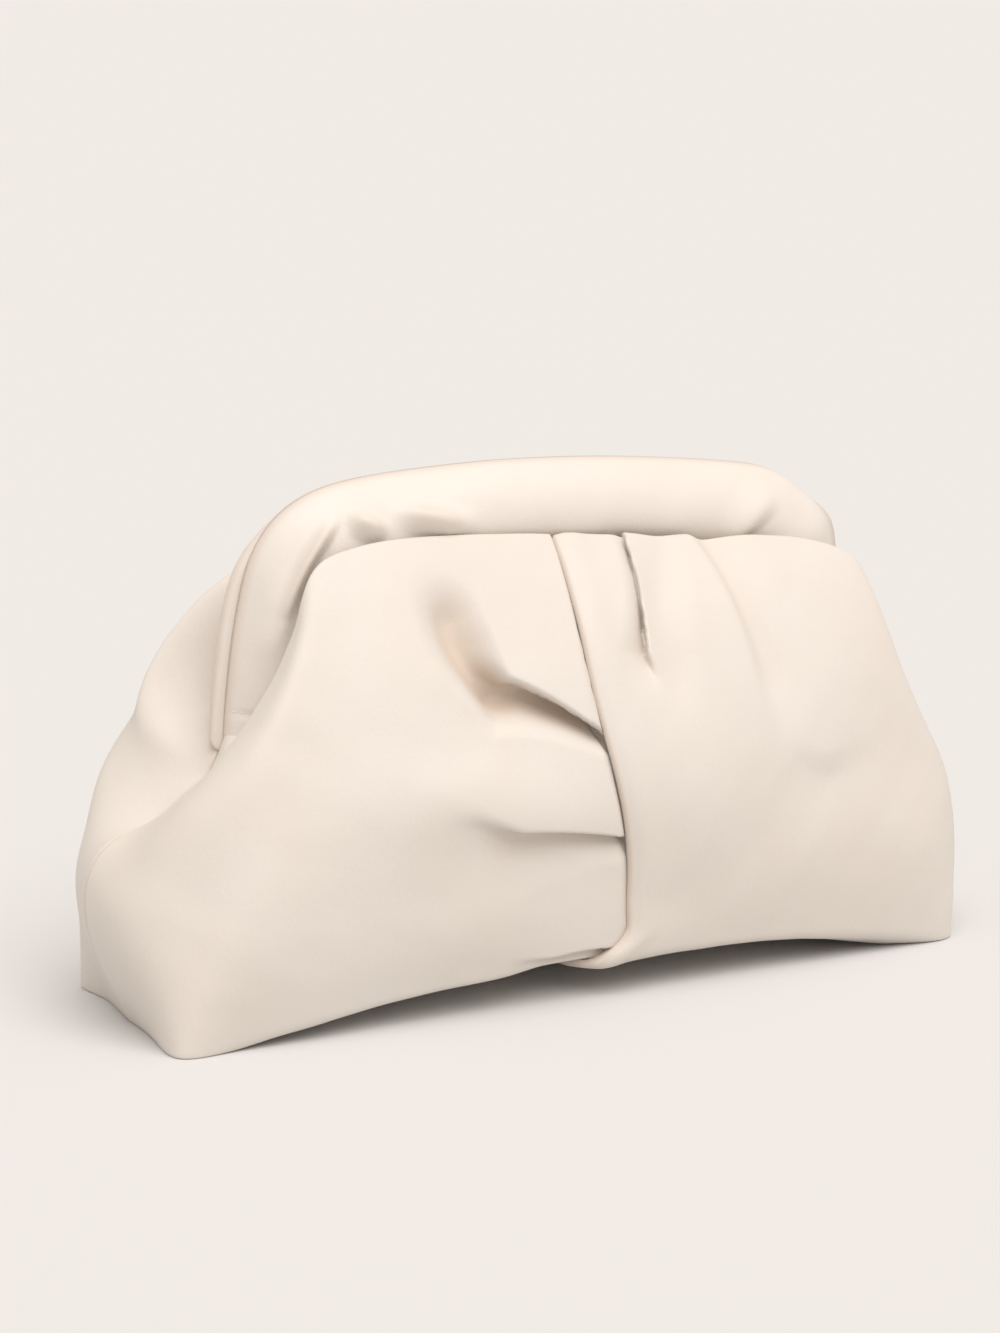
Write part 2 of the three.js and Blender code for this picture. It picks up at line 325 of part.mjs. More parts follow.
// ---------------------------------------------------------------- padded casings
function casing(side) {
  const reach = (r) => r.reach + (side > 0 ? BACK_LEGS_OUT * smooth((146 - r.height) / 20) : 0);
  const left = CASING.map((r) => new THREE.Vector2(FRAME_X - reach(r), r.height));
  const right = (full) => CASING.map((r) => new THREE.Vector2(FRAME_X + reach(r) + 0.8 * full * r.fuller, r.height + 0.6 * full * r.fuller));
  // The outer lip is fuller on the right; the inner edge keeps to the even path.
  const lip = [...left, ...right(1).slice(0, -1).reverse()], even = [...left, ...right(0).slice(0, -1).reverse()];
  const knots = even.reduce((k, p, i) => [...k, i ? k[i - 1] + p.distanceTo(even[i - 1]) : 0], []);
  const total = knots[knots.length - 1], along = makeSpline(knots), start = 0.7;
  const at = (path, s) => { const w = along(clamp(s, 0, total)); return new THREE.Vector2(weigh(w, path.map((p) => p.x)), weigh(w, path.map((p) => p.y))); };
  const evenly = (a, b, step) => { const n = Math.ceil((b - a) / step); return range(n).map((i) => a + (b - a) * i / n); };
  const places = side < 0
    ? [start, ...evenly(3, PINCHED[0], CASING_STEP), ...evenly(...PINCHED, CASING_FINE), ...evenly(PINCHED[1], total - 3, CASING_STEP), total - 3, total - start]
    : [start, ...evenly(3, total - 3, CASING_STEP), total - 3, total - start];
  const rings = places.map((s) => {
    const c = at(lip, s), t = at(even, s + 0.5).sub(at(even, s - 0.5)).normalize(), inward = new THREE.Vector2(t.y, -t.x);
    const k = Math.min(s, total - s), cap = Math.sqrt(1 - (1 - clamp(k / LEG_CAP, 0, 1)) ** 2);
    const tall = CASING_TALL * (LEG_END_TALL + (1 - LEG_END_TALL) * smooth(k / LEG_TAPER));
    const thick = CASING_THICK * (LEG_END_THICK + (1 - LEG_END_THICK) * smooth(k / (LEG_TAPER - 2)));
    const across = at(even, s).addScaledVector(inward, tall).sub(c);
    const section = range(CASING_ROUNDS).map((j) => {
      const a = -Math.PI / 2 + Math.PI * j / (CASING_ROUNDS - 1);
      return [(0.5 - 0.5 * Math.sin(a)) ** CASING_BELLY, Math.max(Math.cos(a), 0) ** CASING_ROUND];
    });
    for (let j = 1; j <= CASING_FLATS; j++) section.push([j / (CASING_FLATS + 1), 0]);
    return section.map(([r, y]) => {
      const share = (r - 0.5) * cap + 0.5, x = c.x + across.x * share, z = c.y + across.y * share, out = y * cap * thick;
      const pinch = side < 0 ? foldHeight('casing', x, z) * smooth(out / 6) : 0;
      return new THREE.Vector3(x, side * (CASING_PART + Math.max(out + pinch, Math.min(out, 1))), z);
    });
  });
  const n = rings.length, m = rings[0].length, pos = rings.flat().flatMap((p) => [p.x, p.y, p.z]), tri = [];
  const add = (a, b, c) => (side < 0 ? tri.push(a, c, b) : tri.push(a, b, c));
  for (let i = 0; i < n - 1; i++) for (let j = 0; j < m; j++) {
    const a = i * m + j, b = i * m + (j + 1) % m, c = (i + 1) * m + (j + 1) % m, d = (i + 1) * m + j;
    add(a, b, c); add(a, c, d);
  }
  for (const end of [0, n - 1]) {
    const mid = rings[end].reduce((s, p) => s.add(p), new THREE.Vector3()).divideScalar(m), k = pos.length / 3;
    pos.push(mid.x, mid.y, mid.z);
    for (let j = 0; j < m; j++) {
      const a = end * m + j, b = end * m + (j + 1) % m;
      if (end === 0) add(k, b, a); else add(k, a, b);
    }
  }
  const g = new THREE.BufferGeometry();
  g.setAttribute('position', new THREE.Float32BufferAttribute(pos, 3));
  g.setIndex(tri);
  g.computeVertexNormals();
  return g;
}

// ---------------------------------------------------------------- the bag
const leather = (color) => new THREE.MeshStandardMaterial({ color, roughness: 0.5, metalness: 0 });
function piece(name, geometry, color) {
  const mesh = new THREE.Mesh(geometry, leather(color));
  mesh.name = name;
  return mesh;
}
const bag = new THREE.Group();
bag.add(
  piece('front_panel', frontPanel, 0xf4e8da),
  piece('wrap_panel', wrapPanel, 0xf4e8da),
  piece('back_panel', backPanel, 0xf2e6d8),
  piece('frame_casing_front', casing(-1), 0xf5eadd),
  piece('frame_casing_back', casing(1), 0xf5eadd),
);
export default bag;
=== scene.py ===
"""A soft clutch bag: two gathered leather front panels, a plain back panel and two padded frame casings.

Lengths in the tables are millimetres: x runs along the bag, y from front to back, z up.
The mesh pieces are made in metres in the same frame as the solid model.
"""
import math

import bpy
import numpy as np
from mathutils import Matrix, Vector


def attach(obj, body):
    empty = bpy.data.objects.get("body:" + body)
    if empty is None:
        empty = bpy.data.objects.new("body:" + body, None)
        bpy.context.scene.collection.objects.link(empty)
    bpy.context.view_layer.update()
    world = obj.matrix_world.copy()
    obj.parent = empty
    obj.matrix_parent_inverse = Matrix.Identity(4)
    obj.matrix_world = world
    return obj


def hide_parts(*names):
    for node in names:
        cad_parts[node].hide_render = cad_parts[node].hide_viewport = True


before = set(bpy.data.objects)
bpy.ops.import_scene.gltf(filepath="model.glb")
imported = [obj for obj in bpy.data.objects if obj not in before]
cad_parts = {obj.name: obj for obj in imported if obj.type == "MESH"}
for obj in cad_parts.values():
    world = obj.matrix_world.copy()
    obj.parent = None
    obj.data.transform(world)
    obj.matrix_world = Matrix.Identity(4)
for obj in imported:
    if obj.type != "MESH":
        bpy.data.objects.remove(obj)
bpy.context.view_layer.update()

MM = 0.001

# ---------------------------------------------------------------- named sizes
WALL = 1.8              # leather with its backing
FRAME_X = 4.0           # the frame's middle
LAP_MARGIN = 0.052      # how far the front panel runs on under the wrap, in sections
LAP_CLEAR = 1.1         # room between the wrap and the margin under it
WRAP_RISE = 1.4         # how far the wrap stands proud of the front panel
WRAP_TIP_RISE = 1.6     # more of the same where the lap edge turns under the bag
WRAP_TIP_WIDE = 22.0    # how far along the wrap that tip reaches
LAP_DIP_HIGH = 1.6      # width of the front panel's dip into the lap, above the tuck
LAP_DIP_LOW = 4.0       # the same below the tuck
SEAM_WIDE = 1.0         # turned edge at the end seams
SEAM_DEEP = 1.1
SEAM_BEND = 1.2         # how much deeper it is where the seam bends
SEAM_DRAW = 3.0         # how far from a seam the leather is drawn to it
SEAM_GAP = 0.06         # half of the gap between the two edges of a seam
LAP_ROUND = 1.0         # turned edge of the wrap
CRISP = 2.2             # how far from a folded edge its rounding begins
FLOOR_ROUND = 0.5       # how softly the leather meets the floor

CASING_TALL = 28.0      # padded casing, from the mouth's lip down into the bag
CASING_THICK = 14.0     # how far it swells to the front or the back
CASING_PART = 0.12      # half of the slit between the two casings
CASING_ROUND = 0.75
CASING_BELLY = 0.66     # below 1 the casing is fullest below its middle
BACK_LEGS_OUT = 4.0     # how far the back casing's legs stand out past the front ones
LEG_TAPER = 30.0
LEG_END_TALL = 0.55
LEG_END_THICK = 0.55
LEG_CAP = 4.0
LEG_TUCK = 8.5          # how far a leg runs on into the end of the bag
HEM = 12.4              # stitched hem above the end of a leg
STITCH_LONG = 1.7
STITCH_STEP = 2.5
STITCH_THICK = 0.6

# ---------------------------------------------------------------- sections of the bag
# named points of a section, from the mouth's seam down the outside and under the bag
LEVEL_NAMES = ("rim", "crest", "shoulder", "belt", "hip", "edge", "sole", "keel")
# a gutter point is set between rim and crest, a brow point between crest and shoulder
LEVELS = np.array([0.0, 0.105, 0.15, 0.20, 0.35, 0.57, 0.77, 0.935, 1.055, 1.2])
CREST, EDGE = 2, 7                    # the levels where the leather is folded to an edge
LEVEL_LENGTH = 172.0                  # leather along one whole level
GUTTER_SHARE, GUTTER_DIP = 0.7, 1.2
BROW_SHARE, BROW_RISE = 0.25, 0.9

# left half of the front, from the end seam (0) to the middle (1); one point for each name
LEFT = [
    (0.00, [(-104, 0, 86.5), (-110.5, 0, 71), (-126, 0, 60), (-142.5, 0, 53), (-148.3, 0, 31), (-136.4, 0, 0), (-132, 0, -0.5), (-122, 0, 0)]),
    (0.14, [(-97, -4, 86), (-114, -18.5, 79), (-130, -23, 66), (-140.5, -24.5, 49), (-144.8, -24.2, 28), (-136.6, -23, 0), (-131, -18, -0.5), (-120, 0, 0)]),
    (0.28, [(-75, -6, 94), (-104, -24, 95.5), (-120, -35, 75), (-128.2, -38, 51), (-134, -40, 26), (-136.3, -41.2, 0), (-128, -33, -0.5), (-115, 0, 0)]),
    (0.42, [(-69.6, -6.5, 109), (-91, -23, 119), (-104, -38, 92), (-112, -45, 60), (-118, -48, 30), (-120, -42.5, 1.3), (-114, -34, 0.4), (-100, 0, 0)]),
    (0.50, [(-67.2, -6.3, 116.5), (-86.5, -22, 131.5), (-94, -37, 100), (-100, -46.5, 65), (-105, -49.3, 32), (-107, -43.5, 3.9), (-102, -32.5, 2.0), (-90, 0, 0)]),
    (0.60, [(-61, -5.7, 123.5), (-74, -18.8, 138), (-77, -37, 107), (-80, -48.5, 69), (-82, -49.8, 34.5), (-83, -44.2, 7.0), (-79, -30.5, 5.0), (-72, 0, 0)]),
    (0.76, [(-40, -5, 128.4), (-45, -17, 141), (-46, -37.5, 110), (-48, -50, 70), (-49, -50.2, 36), (-49, -44.7, 10.0), (-47, -28.5, 7.6), (-44, 0, 0)]),
    (1.00, [(0, -5, 130.8), (0, -15.5, 138.8), (0, -37.5, 110), (0, -50.5, 71), (0, -49.5, 38), (0, -45.5, 12.0), (0, -27, 9.0), (0, 0, 0)]),
]
# where the right half of the front differs from the left half's mirror image
RIGHT = {
    0.00: dict(rim=(112, 0, 86.5), crest=(117.5, 0, 71), shoulder=(130, 0, 60)),
    0.14: dict(rim=(105, -4, 86), crest=(116, -19, 80), shoulder=(130, -25, 66)),
    0.28: dict(rim=(83, -6, 94), crest=(106, -25, 103), shoulder=(119.5, -36, 80), belt=(130, -40, 52), hip=(133.5, -40.5, 26), edge=(134.3, -39.5, 0)),
    0.42: dict(rim=(77.8, -6.5, 109), crest=(105.8, -23.7, 125.5), shoulder=(107.5, -38, 96), edge=(119, -43.5, 3.6)),
    0.50: dict(rim=(75.4, -3.5, 118), crest=(98, -22, 131), shoulder=(99, -38, 101), edge=(106, -44.5, 6.0)),
    0.60: dict(rim=(69.4, -2.5, 124.5), crest=(84, -20, 134), shoulder=(83, -38, 106), edge=(82, -45, 9.2), sole=(79, -30.5, 6.8)),
    0.76: dict(rim=(48, -5, 128.4), crest=(47, -17, 136), edge=(49, -45.5, 11.5), sole=(47, -28.5, 8.8)),
}
# where the back differs from the front's left half turned round
BACK = {
    0.14: dict(crest=(-120, 21, 84), shoulder=(-132, 27, 66), belt=(-140, 27, 49), hip=(-142, 26, 28), edge=(-135.5, 25, 0)),
    0.28: dict(crest=(-114.5, 28, 102.5), shoulder=(-123.5, 37, 78)),
    0.42: dict(crest=(-99, 27, 121.5), edge=(-117, 41, 0), sole=(-114, 34, -0.5)),
    0.50: dict(crest=(-88, 25.5, 129), belt=(-100, 46.5, 65), hip=(-105, 48.3, 32), edge=(-104, 41, 0), sole=(-102, 32.5, -0.5)),
    0.60: dict(crest=(-73, 23.5, 135), belt=(-80, 49.8, 69), hip=(-82, 51.5, 34), edge=(-81, 41, 0), sole=(-79, 30.5, -0.5)),
    0.76: dict(crest=(-44, 21, 137), belt=(-48, 51.2, 72), hip=(-49, 53.1, 36), edge=(-49, 41, 0), sole=(-47, 28.5, -0.5)),
    1.00: dict(crest=(0, 20, 137), belt=(0, 51.6, 74), hip=(0, 53.8, 38), edge=(0, 41, 0), sole=(0, 27, -0.5)),
}
BACK_SHIFT = (2.0, 1.3, 1.0, 0.8, 0, 0, 0, 0, 0, 0)   # how much of the frame's offset each level's right half takes

# the wrap's lap edge
LAP_V = (0.0, 0.15, 0.25, 0.34, 0.42, 0.51, 0.60, 0.70, 0.78, 0.85, 0.895, 0.93, 1.0, 1.2)
LAP_X = (-2.0, -3.0, -4.6, -5.4, -5.4, -3.5, -0.4, 3.0, 4.6, 5.2, 3.6, -4.0, -9.0, -12.0)

# casing's outer lip, from the end of a leg to the middle of the top
# columns: reach from the frame's middle, height, how much fuller the right half is
CASING = [
    (109.0, 85.5, 0), (107.9, 97, 1.0), (106.3, 109, 4.0), (104, 121, 4.0), (100.5, 133, 6.0), (94, 143.5, 3.2),
    (83, 151.5, 2.5), (66, 156.2, 1.2), (44, 158.6, 0.3), (22, 160.0, 0), (0, 160.4, 0),
]

# Folds and dents. start, bend and stop are (x, z) on the front, along the lip as it is seen; depth, lip, wall, slope,
# soft and over are at the start, middle and stop. wall is how much leather the lip's own side takes, slope the width of
# the other side, soft the radius of the hollow's bottom, over how far the lip is drawn out over the hollow. high is
# the side of the raised layer (+1 left of the way from start to stop, -1 right of it). full is 1 where the hollow is a
# pocket with a floor and 0 where it is a plain crease.
FOLD_COLUMNS = ("panel", "start", "bend", "stop", "depth", "lip", "wall", "slope", "soft", "over", "crown", "high", "full")
FOLD_ROWS = [
    # tuck that runs into the lap, and the thumb-shaped dent that it grows out of
    ("front", (9, 72.4), (-24, 97.6), (-47, 106), (1.8, 9.8, 0), (0.5, 1.0, 0), (3, 3.6, 8), (2.5, 16, 14), (0.5, 1.0, 6), (3.6, 7, 0), 13, -1, 0.9),
    ("front", (-45, 133), (-50.5, 113), (-36.5, 97.5), (0, 7.6, 7), (0, 0, 0), (10, 9.5, 8), (8, 9.5, 8), (3.5, 4, 3.5), (0, 0, 0), 10, 1, 0.0),
    # lower tuck
    ("front", (14, 47.3), (-25, 59.2), (-68, 57.5), (5.5, 4.6, 0), (0.5, 0.9, 0), (3, 4.5, 12), (6, 18, 22), (0.8, 4, 8), (4.2, 5.6, 0), 12, -1, 0.0),
    # gather where the front panel turns under, beside the lap
    ("front", (2, 15.5), (-14, 18.8), (-40, 10.5), (3.2, 2.8, 0), (0.5, 0.5, 0), (2, 2.5, 5), (20, 20, 16), (1, 1, 3), (2.4, 2.5, 0), 9, -1, 0.0),
    # pleats of the wrap at the mouth
    ("wrap", (21, 138), (17, 117), (14, 86), (1.2, 5.4, 0), (1.0, 1.0, 0), (1.8, 2.2, 7), (4, 9.5, 10), (0.6, 0.9, 5), (2.4, 5, 0), 11, 1, 0.1),
    ("wrap", (50, 138), (57, 108), (64, 64), (2.6, 2.8, 0), (0.6, 1.0, 0), (5, 6, 10), (14, 18, 18), (2.5, 3, 5), (0, 0, 0), 12, -1, 0.0),
    ("wrap", (34, 132), (23.5, 108), (20, 72), (1.8, 2.2, 0), (0, 0, 0), (7, 8, 11), (8, 9, 12), (4, 4, 5), (0, 0, 0), 10, 1, 0.0),
    # soft end of the swell on the wrap's right
    ("wrap", (62, 69), (78, 52), (98, 69), (0.2, 0.9, 0.1), (0.1, 0.3, 0.1), (6, 8, 8), (14, 18, 16), (4, 5, 5), (0, 0, 0), 14, 1, 0.0),
]
DENT_ROWS = [
    # pinches of the front casing where it turns into its left leg
    ("casing", (-90, 117), (-86.6, 130), (-79, 138.8), (0.8, 4.8, 5.2), (0, 0, 0), (2.2, 2.4, 2.2), (3, 3.6, 3.4), (0.5, 0.5, 0.5), (0, 0, 0), 7, -1, 0.0),
    ("casing", (-72, 145.2), (-64.5, 144), (-56, 139.6), (0, 4.4, 0), (0, 0, 0), (3.4, 3.8, 3.4), (3.6, 4.2, 3.6), (2, 2, 2), (0, 0, 0), 6, 1, 0.0),
    ("casing", (-58.5, 147.3), (-46, 144.6), (-22, 141), (0, 4.8, 0), (0, 0, 0), (3.6, 4.4, 5), (4, 5, 5), (2.2, 2.5, 3), (0, 0, 0), 6, 1, 0.0),
    # slack crease at the right end, and a lengthwise wrinkle of the left leg
    ("casing", (62, 131.5), (70, 139), (86, 150), (1.0, 2.1, 0), (0.4, 0.3, 0), (4, 4.5, 5), (9, 9, 7), (2, 2.5, 3), (0, 0, 0), 9, -1, 0.0),
    ("casing", (-97, 96), (-93, 116), (-87, 134), (0, 1.5, 0), (0, 0.2, 0), (5, 5, 5), (5, 6, 5), (3, 3, 3), (0, 0, 0), 6, 1, 0.0),
]
# Broad swells: middle (x, z), reach along and across, slope of the long way in degrees, height
SWELL_COLUMNS = ("panel", "middle", "reach", "slope", "height")
SWELL_ROWS = [
    ("front", (-38, 66), (36, 13), -4, 4.2),
    ("front", (-45, 26), (40, 13), 2, 1.5),
    ("wrap", (30, 62), (20, 30), 0, 2.2),
]
FOLDS = [dict(zip(FOLD_COLUMNS, row)) for row in FOLD_ROWS + DENT_ROWS]
SWELLS = [dict(zip(SWELL_COLUMNS, row)) for row in SWELL_ROWS]


# ---------------------------------------------------------------- splines and surfaces
def smooth(x):
    x = np.clip(x, 0, 1)
    return x * x * (3 - 2 * x)


def bends(t):
    """Second derivatives of a natural cubic spline as a linear map of its values."""
    t = np.asarray(t, float)
    n, h = len(t), np.diff(t)
    a, b = np.zeros((n, n)), np.zeros((n, n))
    a[0, 0] = a[-1, -1] = 1
    for i in range(1, n - 1):
        a[i, i - 1], a[i, i], a[i, i + 1] = h[i - 1], 2 * (h[i - 1] + h[i]), h[i]
        b[i, i - 1] += 6 / h[i - 1]
        b[i, i] -= 6 / h[i - 1] + 6 / h[i]
        b[i, i + 1] += 6 / h[i]
    return np.linalg.solve(a, b)


def weights(t, x, m=None):
    """Weights of the spline's values at each x."""
    t, x = np.asarray(t, float), np.asarray(x, float).ravel()
    m = bends(t) if m is None else m
    i = np.clip(np.searchsorted(t, x) - 1, 0, len(t) - 2)
    h = t[i + 1] - t[i]
    a, b = (t[i + 1] - x) / h, (x - t[i]) / h
    w, r = np.zeros((len(x), len(t))), np.arange(len(x))
    w[r, i] += a
    w[r, i + 1] += b
    return w + ((a**3 - a) * h * h / 6)[:, None] * m[i] + ((b**3 - b) * h * h / 6)[:, None] * m[i + 1]


def spline(t, y, x):
    return (weights(t, x) @ np.asarray(y, float)).reshape(np.shape(x))


def sections(table, other, sx=1, sy=1):
    """The table's half sections as points, with the gutter and brow filled in."""
    out = []
    for share, points in table:
        o = other.get(share, {})
        row = [np.array(o[n] if n in o else (sx * p[0], sy * p[1], p[2]), float) for n, p in zip(LEVEL_NAMES, points)]
        rim, crest, shoulder = row[:3]
        gutter = rim + GUTTER_SHARE * (crest - rim) - [0, 0, GUTTER_DIP]
        fall = shoulder - crest
        away = np.array([0, -sy, 0.0])
        away -= fall * (away @ fall) / (fall @ fall)
        brow = crest + BROW_SHARE * fall + BROW_RISE * away / np.linalg.norm(away)
        out.append([rim, gutter, crest, brow] + row[2:])
    return np.array(out)


SECTION_S = [share for share, _ in LEFT]
SECTION_U = np.array([share - 1 for share in SECTION_S] + [1 - share for share in SECTION_S[-2::-1]])
FRONT_NET = np.concatenate([sections(LEFT, {}), sections(LEFT, RIGHT, -1, 1)[-2::-1]])
BACK_LEFT = sections(LEFT, BACK, 1, -1)
BACK_RIGHT = BACK_LEFT * [-1, 1, 1]
BACK_RIGHT[..., 0] += np.array(BACK_SHIFT) * FRAME_X
BACK_NET = np.concatenate([BACK_LEFT, BACK_RIGHT[-2::-1]])
BEND_U = bends(SECTION_U)


def stretches(*breaks):
    """The levels between one break and the next, each with a spline of its own."""
    ends = [0, *breaks, len(LEVELS) - 1]
    return [(a, b + 1, bends(LEVELS[a : b + 1])) for a, b in zip(ends[:-1], ends[1:])]


SOFT_CREST, CRISP_CREST = stretches(EDGE), stretches(CREST, EDGE)


def level_weights(v, parts, count=7):
    """Weights of the levels, evened out a little so that folded edges are rounded."""
    out = np.zeros((len(v), len(LEVELS)))
    for shift in np.linspace(-1, 1, count) * CRISP / LEVEL_LENGTH:
        x = np.clip(v + shift, 0, LEVELS[-1])
        for a, b, m in parts:
            inside = (x >= LEVELS[a]) & ((x < LEVELS[b - 1]) | (b == len(LEVELS)))
            out[inside, a:b] += weights(LEVELS[a:b], x[inside], m) / count
    return out


def surface(net, u, v):
    u, v = np.broadcast_arrays(np.asarray(u, float), np.asarray(v, float))
    across = np.einsum("ns,slk->nlk", weights(SECTION_U, u, BEND_U), net)
    down = level_weights(v.ravel(), SOFT_CREST)
    if net is FRONT_NET:
        k = smooth((0.98 - np.abs(u.ravel())) / 0.2)[:, None]
        down = (1 - k) * down + k * level_weights(v.ravel(), CRISP_CREST)
    return np.einsum("nl,nlk->nk", down, across).reshape(u.shape + (3,))


def surface_frame(net, u, v, side):
    """The surface's slopes and outward normal."""
    e = 1e-3
    u, v = np.broadcast_arrays(np.asarray(u, float), np.asarray(v, float))
    u0, u1 = np.clip(u - e, -1, 1), np.clip(u + e, -1, 1)
    v0, v1 = np.clip(v - e, 0, LEVELS[-1]), np.clip(v + e, 0, LEVELS[-1])
    pu = (surface(net, u1, v) - surface(net, u0, v)) / (u1 - u0)[..., None]
    pv = (surface(net, u, v1) - surface(net, u, v0)) / (v1 - v0)[..., None]
    n = side * np.cross(pv, pu)
    return pu, pv, n / (np.linalg.norm(n, axis=-1, keepdims=True) + 1e-12)


def lap_x(v):
    return spline(LAP_V, LAP_X, v)


def lap_u(v):
    """Where the lap edge crosses each level."""
    v = np.asarray(v, float)
    x, lo, hi = lap_x(v), np.full(v.shape, -0.35), np.full(v.shape, 0.35)
    for _ in range(40):
        mid = (lo + hi) / 2
        below = surface(FRONT_NET, mid, v)[..., 0] < x
        lo, hi = np.where(below, mid, lo), np.where(below, hi, mid)
    return (lo + hi) / 2


def three(c, t):
    """A value given at start, middle and stop."""
    a, b, d = c
    return a * (2 * t - 1) * (t - 1) + b * 4 * t * (1 - t) + d * t * (2 * t - 1)


def fold_field(panel, x, z):
    """Height of the folds over the plain surface, the lips' overhang along x and z, and how deep each point lies, which
    later paints shade into the leather's colour.
    """
    height, sx, sz = np.zeros_like(x), np.zeros_like(x), np.zeros_like(x)
    hollow_shade = np.zeros_like(x)
    for f in (f for f in SWELLS if f["panel"] == panel):
        c, d = math.cos(math.radians(f["slope"])), math.sin(math.radians(f["slope"]))
        px, pz = x - f["middle"][0], z - f["middle"][1]
        along, across = (px * c + pz * d) / f["reach"][0], (pz * c - px * d) / f["reach"][1]
        height += f["height"] * np.exp(-along * along - across * across)
    parts = 60
    for f in (f for f in FOLDS if f["panel"] == panel):
        a, b, c = (np.array(f[k], float) for k in ("start", "bend", "stop"))
        t = np.linspace(0, 1, parts + 1)[:, None]
        line = (1 - t) ** 2 * a + 2 * t * (1 - t) * b + t * t * c
        reach = 2.2 * max(max(f["slope"]), f["crown"]) + 8
        lo, hi = line.min(0) - reach, line.max(0) + reach
        near = np.nonzero((x > lo[0]) & (x < hi[0]) & (z > lo[1]) & (z < hi[1]))
        px, pz = x[near], z[near]
        best = np.full(px.shape, 1e9)
        bt, bq, be, nx, nz = (np.zeros_like(px) for _ in range(5))
        for i in range(parts):
            g = line[i + 1] - line[i]
            length = np.hypot(*g)
            g = g / length
            wx, wz = px - line[i][0], pz - line[i][1]
            along = wx * g[0] + wz * g[1]
            k = np.clip(along, 0, length)
            q = f["high"] * (g[0] * wz - g[1] * wx)
            gap = np.hypot(wx - k * g[0], wz - k * g[1])
            m = gap < best
            best[m], bt[m], bq[m], be[m] = gap[m], ((i + k / length) / parts)[m], q[m], np.abs(along - k)[m]
            nx[m], nz[m] = -f["high"] * g[1], f["high"] * g[0]
        ends = (smooth(bt / 0.4) if f["depth"][0] <= 0 else 1) * (smooth((1 - bt) / 0.4) if f["depth"][2] <= 0 else 1)
        depth, lip, over = (np.maximum(three(f[k], bt), 0) * ends for k in ("depth", "lip", "over"))
        wall, slope = np.maximum(three(f["wall"], bt), 0.9), np.maximum(three(f["slope"], bt), 2.0)
        soft = np.maximum(three(f["soft"], bt), 0.3)
        fade = np.exp(-((be / 6.0) ** 2))
        turn = 0.9 * wall
        q = bq - np.maximum(over - turn, 0)
        far = (np.sqrt(q * q + soft * soft) - soft) / slope
        side = (1 - f["full"]) * np.clip(1 - far, 0, 1) ** 2 + f["full"] * (1 - smooth(far))
        width = wall * (1.25 - 0.25 * np.clip(over / wall, 0, 1))
        low = np.where(q < 0, side, 1 - smooth(q / width))
        up = np.where(q < 0, 0, smooth(q / width) * np.exp(-((np.maximum(q - wall, 0) / f["crown"]) ** 2)))
        drawn = np.where(q < turn, smooth(q / turn), np.exp(-((np.maximum(q - turn, 0) / (2.2 * over + 0.5)) ** 2)))
        height[near] += fade * (lip * up - depth * low)
        # depth of the hollow, kept as the mask for painted shade in the leather's colour
        hollow_shade[near] += fade * depth * low
        sx[near] -= fade * over * drawn * nx
        sz[near] -= fade * over * drawn * nz
    return height, sx, sz, hollow_shade


def ripple(p, seed, size, wave, count=9):
    """Slight unevenness of handled leather: a few crossing waves."""
    rng = np.random.default_rng(seed)
    out = np.zeros(p.shape[:-1])
    for _ in range(count):
        k = rng.normal(size=3)
        k *= 2 * np.pi / (wave * rng.uniform(0.7, 1.5)) / np.linalg.norm(k)
        out += np.sin(p @ k + rng.uniform(0, 2 * np.pi))
    return out * size / math.sqrt(count)


def on_floor(p):
    """Leather that reaches the floor spreads on it."""
    z = p[..., 2] - 0.35
    p[..., 2] = 0.5 * (z + np.sqrt(z * z + FLOOR_ROUND**2)) + 0.02
    return p


def seam(gap, v):
    """How far a panel's edge turns in at the end seams."""
    deep = SEAM_DEEP + SEAM_BEND * np.exp(-(((v - 0.52) / 0.08) ** 2))
    return deep / SEAM_WIDE * round_over(gap, SEAM_WIDE)


def meet(p, end, gap, v, y):
    """Brings a panel's edge to the plane of an end seam, so that the two edges touch below the legs."""
    k = (y - p[end, :, 1]) * smooth((v[end] - 0.06) / 0.05)
    p[..., 1] += k * np.exp(-((gap / SEAM_DRAW) ** 2))


def round_over(gap, radius):
    """How far a turned edge has fallen away, gap millimetres in from its end."""
    g = np.clip(gap / radius, 0, 1)
    return radius * (1 - np.sqrt(np.maximum(1 - (1 - g) ** 2, 0)))


def stations(length, step, fine_start=0.0, fine_end=0.0, fine=0.35):
    """Positions from 0 to 1 with a closer spacing near the chosen ends; their count is 3n + 1."""
    def density(p):
        d = 1 / step + 0 * p
        if fine_start:
            d = d + (1 / fine - 1 / step) * np.exp(-((p / fine_start) ** 2))
        if fine_end:
            d = d + (1 / fine - 1 / step) * np.exp(-(((length - p) / fine_end) ** 2))
        return d

    p = np.linspace(0, length, 4001)
    total = np.concatenate([[0], np.cumsum((density(p[1:]) + density(p[:-1])) / 2 * np.diff(p))])
    n = 3 * int(math.ceil(total[-1] / 3)) + 1
    return np.interp(np.linspace(0, total[-1], n), total, p) / length


# ---------------------------------------------------------------- meshes
def make(name, verts, faces, fields=None):
    me = bpy.data.meshes.new(name)
    me.from_pydata((np.asarray(verts) * MM).tolist(), [], faces)
    me.update()
    me.polygons.foreach_set("use_smooth", np.ones(len(me.polygons), bool))
    for key, values in (fields or {}).items():
        me.attributes.new(key, "FLOAT", "POINT").data.foreach_set("value", np.asarray(values, np.float32))
    o = bpy.data.objects.new(name, me)
    bpy.context.scene.collection.objects.link(o)
    return o


